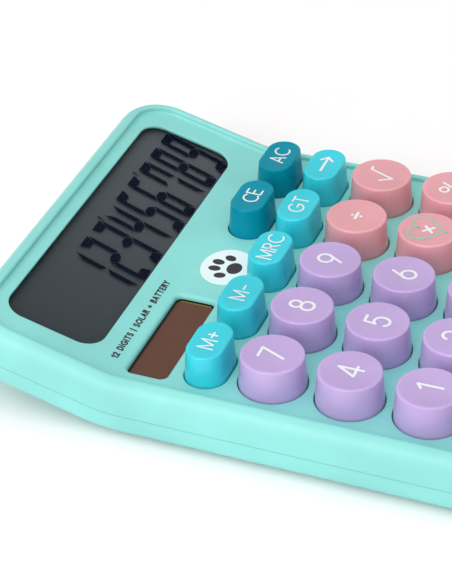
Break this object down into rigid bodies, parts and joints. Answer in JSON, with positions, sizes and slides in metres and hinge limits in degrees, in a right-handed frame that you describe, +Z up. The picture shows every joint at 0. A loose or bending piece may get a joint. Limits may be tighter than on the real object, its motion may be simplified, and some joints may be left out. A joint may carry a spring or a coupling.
{
  "type": "desk calculator",
  "caption": "Mint desk calculator with a tilted display, a solar strip, round number keys, oval function keys, and a battery housing that props up the display.",
  "frame": {"origin": "centre of the bounding box, on the table under the rubber feet", "axes": "+X to the right of a person using it, +Y from the front edge towards the display, +Z up"},
  "size_m": [0.1344, 0.1786, 0.0299],
  "materials": {
    "mint_shell": "satin moulded plastic, mint green",
    "lilac_keys": "satin moulded plastic, lilac",
    "pink_keys": "satin moulded plastic, rose pink",
    "cyan_keys": "satin moulded plastic, bright cyan",
    "teal_keys": "satin moulded plastic, teal",
    "clear_lens": "clear acrylic, polished",
    "lcd_glass": "polarised display glass, dark grey",
    "solar_glass": "amorphous solar cell, brown glass",
    "white_plastic": "matt moulded plastic",
    "grey_rubber": "silicone rubber sheet",
    "dark_rubber": "rubber pads",
    "green_board": "glass-fibre circuit board with solder mask",
    "black_resin": "moulded epoxy",
    "ribbon_film": "polyimide film",
    "red_wire": "wire insulation",
    "contact_steel": "nickel-plated spring steel",
    "screw_steel": "zinc-plated steel",
    "battery_jacket": "printed metal jacket, plain"
  },
  "bodies": {
    "case": {"battery_cell": "battery_jacket", "battery_plate": "contact_steel", "battery_spring": "contact_steel", "battery_wire_minus": "red_wire", "battery_wire_plus": "red_wire", "board_screw_1": "screw_steel", "board_screw_2": "screw_steel", "board_screw_3": "screw_steel", "board_screw_4": "screw_steel", "bottom_shell": "mint_shell", "capacitor": "black_resin", "case_screw_1": "screw_steel", "case_screw_2": "screw_steel", "case_screw_3": "screw_steel", "case_screw_4": "screw_steel", "case_screw_5": "screw_steel", "case_screw_6": "screw_steel", "chip_resin": "black_resin", "foot_front_left": "dark_rubber", "foot_front_right": "dark_rubber", "foot_rear_left": "dark_rubber", "foot_rear_right": "dark_rubber", "keypad_sheet": "grey_rubber", "lcd_frame": "white_plastic", "lcd_module": "lcd_glass", "lcd_ribbon": "ribbon_film", "lcd_window": "clear_lens", "main_board": "green_board", "solar_cell": "solar_glass", "solar_lead": "red_wire", "top_shell": "mint_shell"},
    "key_0": {"key_0": "lilac_keys"},
    "key_00": {"key_00": "lilac_keys"},
    "key_1": {"key_1": "lilac_keys"},
    "key_2": {"key_2": "lilac_keys"},
    "key_3": {"key_3": "lilac_keys"},
    "key_4": {"key_4": "lilac_keys"},
    "key_5": {"key_5": "lilac_keys"},
    "key_6": {"key_6": "lilac_keys"},
    "key_7": {"key_7": "lilac_keys"},
    "key_8": {"key_8": "lilac_keys"},
    "key_9": {"key_9": "lilac_keys"},
    "key_ac": {"key_ac": "teal_keys"},
    "key_add": {"key_add": "pink_keys"},
    "key_arrow": {"key_arrow": "cyan_keys"},
    "key_ce": {"key_ce": "teal_keys"},
    "key_divide": {"key_divide": "pink_keys"},
    "key_equals": {"key_equals": "pink_keys"},
    "key_gt": {"key_gt": "cyan_keys"},
    "key_m_minus": {"key_m_minus": "cyan_keys"},
    "key_m_plus": {"key_m_plus": "cyan_keys"},
    "key_mrc": {"key_mrc": "cyan_keys"},
    "key_multiply": {"key_multiply": "pink_keys"},
    "key_percent": {"key_percent": "pink_keys"},
    "key_point": {"key_point": "lilac_keys"},
    "key_root": {"key_root": "pink_keys"},
    "key_subtract": {"key_subtract": "pink_keys"},
    "battery_door": {"battery_door": "mint_shell"}
  },
  "joints": [
    {"name": "0_press", "type": "slide", "parent": "case", "child": "key_0", "axis": [0, 0, -1], "range_m": [0, 0.0025], "stiffness_N_per_m": 240, "springref_m": -0.001, "deforming": ["keypad_sheet"]},
    {"name": "00_press", "type": "slide", "parent": "case", "child": "key_00", "axis": [0, 0, -1], "range_m": [0, 0.0025], "stiffness_N_per_m": 240, "springref_m": -0.001, "deforming": ["keypad_sheet"]},
    {"name": "1_press", "type": "slide", "parent": "case", "child": "key_1", "axis": [0, 0, -1], "range_m": [0, 0.0025], "stiffness_N_per_m": 240, "springref_m": -0.001, "deforming": ["keypad_sheet"]},
    {"name": "2_press", "type": "slide", "parent": "case", "child": "key_2", "axis": [0, 0, -1], "range_m": [0, 0.0025], "stiffness_N_per_m": 240, "springref_m": -0.001, "deforming": ["keypad_sheet"]},
    {"name": "3_press", "type": "slide", "parent": "case", "child": "key_3", "axis": [0, 0, -1], "range_m": [0, 0.0025], "stiffness_N_per_m": 240, "springref_m": -0.001, "deforming": ["keypad_sheet"]},
    {"name": "4_press", "type": "slide", "parent": "case", "child": "key_4", "axis": [0, 0, -1], "range_m": [0, 0.0025], "stiffness_N_per_m": 240, "springref_m": -0.001, "deforming": ["keypad_sheet"]},
    {"name": "5_press", "type": "slide", "parent": "case", "child": "key_5", "axis": [0, 0, -1], "range_m": [0, 0.0025], "stiffness_N_per_m": 240, "springref_m": -0.001, "deforming": ["keypad_sheet"]},
    {"name": "6_press", "type": "slide", "parent": "case", "child": "key_6", "axis": [0, 0, -1], "range_m": [0, 0.0025], "stiffness_N_per_m": 240, "springref_m": -0.001, "deforming": ["keypad_sheet"]},
    {"name": "7_press", "type": "slide", "parent": "case", "child": "key_7", "axis": [0, 0, -1], "range_m": [0, 0.0025], "stiffness_N_per_m": 240, "springref_m": -0.001, "deforming": ["keypad_sheet"]},
    {"name": "8_press", "type": "slide", "parent": "case", "child": "key_8", "axis": [0, 0, -1], "range_m": [0, 0.0025], "stiffness_N_per_m": 240, "springref_m": -0.001, "deforming": ["keypad_sheet"]},
    {"name": "9_press", "type": "slide", "parent": "case", "child": "key_9", "axis": [0, 0, -1], "range_m": [0, 0.0025], "stiffness_N_per_m": 240, "springref_m": -0.001, "deforming": ["keypad_sheet"]},
    {"name": "ac_press", "type": "slide", "parent": "case", "child": "key_ac", "axis": [0, 0, -1], "range_m": [0, 0.0025], "stiffness_N_per_m": 240, "springref_m": -0.001, "deforming": ["keypad_sheet"]},
    {"name": "add_press", "type": "slide", "parent": "case", "child": "key_add", "axis": [0, 0, -1], "range_m": [0, 0.0025], "stiffness_N_per_m": 240, "springref_m": -0.001, "deforming": ["keypad_sheet"]},
    {"name": "arrow_press", "type": "slide", "parent": "case", "child": "key_arrow", "axis": [0, 0, -1], "range_m": [0, 0.0025], "stiffness_N_per_m": 240, "springref_m": -0.001, "deforming": ["keypad_sheet"]},
    {"name": "ce_press", "type": "slide", "parent": "case", "child": "key_ce", "axis": [0, 0, -1], "range_m": [0, 0.0025], "stiffness_N_per_m": 240, "springref_m": -0.001, "deforming": ["keypad_sheet"]},
    {"name": "divide_press", "type": "slide", "parent": "case", "child": "key_divide", "axis": [0, 0, -1], "range_m": [0, 0.0025], "stiffness_N_per_m": 240, "springref_m": -0.001, "deforming": ["keypad_sheet"]},
    {"name": "equals_press", "type": "slide", "parent": "case", "child": "key_equals", "axis": [0, 0, -1], "range_m": [0, 0.0025], "stiffness_N_per_m": 240, "springref_m": -0.001, "deforming": ["keypad_sheet"]},
    {"name": "gt_press", "type": "slide", "parent": "case", "child": "key_gt", "axis": [0, 0, -1], "range_m": [0, 0.0025], "stiffness_N_per_m": 240, "springref_m": -0.001, "deforming": ["keypad_sheet"]},
    {"name": "m_minus_press", "type": "slide", "parent": "case", "child": "key_m_minus", "axis": [0, 0, -1], "range_m": [0, 0.0025], "stiffness_N_per_m": 240, "springref_m": -0.001, "deforming": ["keypad_sheet"]},
    {"name": "m_plus_press", "type": "slide", "parent": "case", "child": "key_m_plus", "axis": [0, 0, -1], "range_m": [0, 0.0025], "stiffness_N_per_m": 240, "springref_m": -0.001, "deforming": ["keypad_sheet"]},
    {"name": "mrc_press", "type": "slide", "parent": "case", "child": "key_mrc", "axis": [0, 0, -1], "range_m": [0, 0.0025], "stiffness_N_per_m": 240, "springref_m": -0.001, "deforming": ["keypad_sheet"]},
    {"name": "multiply_press", "type": "slide", "parent": "case", "child": "key_multiply", "axis": [0, 0, -1], "range_m": [0, 0.0025], "stiffness_N_per_m": 240, "springref_m": -0.001, "deforming": ["keypad_sheet"]},
    {"name": "percent_press", "type": "slide", "parent": "case", "child": "key_percent", "axis": [0, 0, -1], "range_m": [0, 0.0025], "stiffness_N_per_m": 240, "springref_m": -0.001, "deforming": ["keypad_sheet"]},
    {"name": "point_press", "type": "slide", "parent": "case", "child": "key_point", "axis": [0, 0, -1], "range_m": [0, 0.0025], "stiffness_N_per_m": 240, "springref_m": -0.001, "deforming": ["keypad_sheet"]},
    {"name": "root_press", "type": "slide", "parent": "case", "child": "key_root", "axis": [0, 0, -1], "range_m": [0, 0.0025], "stiffness_N_per_m": 240, "springref_m": -0.001, "deforming": ["keypad_sheet"]},
    {"name": "subtract_press", "type": "slide", "parent": "case", "child": "key_subtract", "axis": [0, 0, -1], "range_m": [0, 0.0025], "stiffness_N_per_m": 240, "springref_m": -0.001, "deforming": ["keypad_sheet"]},
    {"name": "battery_door_slide", "type": "slide", "parent": "case", "child": "battery_door", "axis": [0, 1, 0], "range_m": [0, 0.016]}
  ]
}
